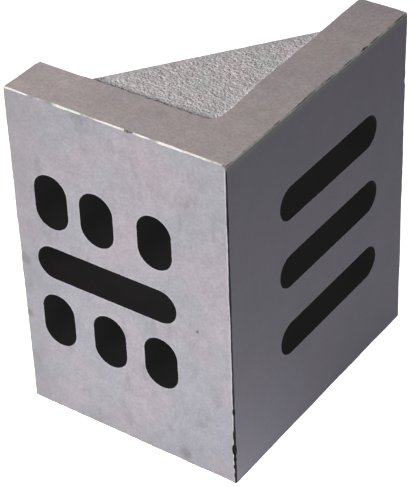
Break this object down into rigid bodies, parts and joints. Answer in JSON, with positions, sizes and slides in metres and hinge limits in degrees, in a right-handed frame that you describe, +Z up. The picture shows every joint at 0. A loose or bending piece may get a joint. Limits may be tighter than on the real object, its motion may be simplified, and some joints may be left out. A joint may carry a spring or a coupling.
{
  "type": "angle plate",
  "caption": "Right-angle plate with machined faces, bolt slots in both legs and rough cast webs at the ends, for holding work square on a machine table.",
  "frame": {"origin": "middle of the footprint's bounding box, at floor level, with the plate standing on one machined end", "axes": "+Z up along the outer corner; X along the short leg, with the outer corner at +X; Y along the long leg, with the outer corner at -Y"},
  "size_m": [0.1016, 0.127, 0.1524],
  "materials": {
    "cast_iron": "machined on the outer faces and ends, bare sand-cast skin on the webs, the inside and the slots"
  },
  "bodies": {
    "root": {"angle_plate": "cast_iron"}
  },
  "joints": []
}
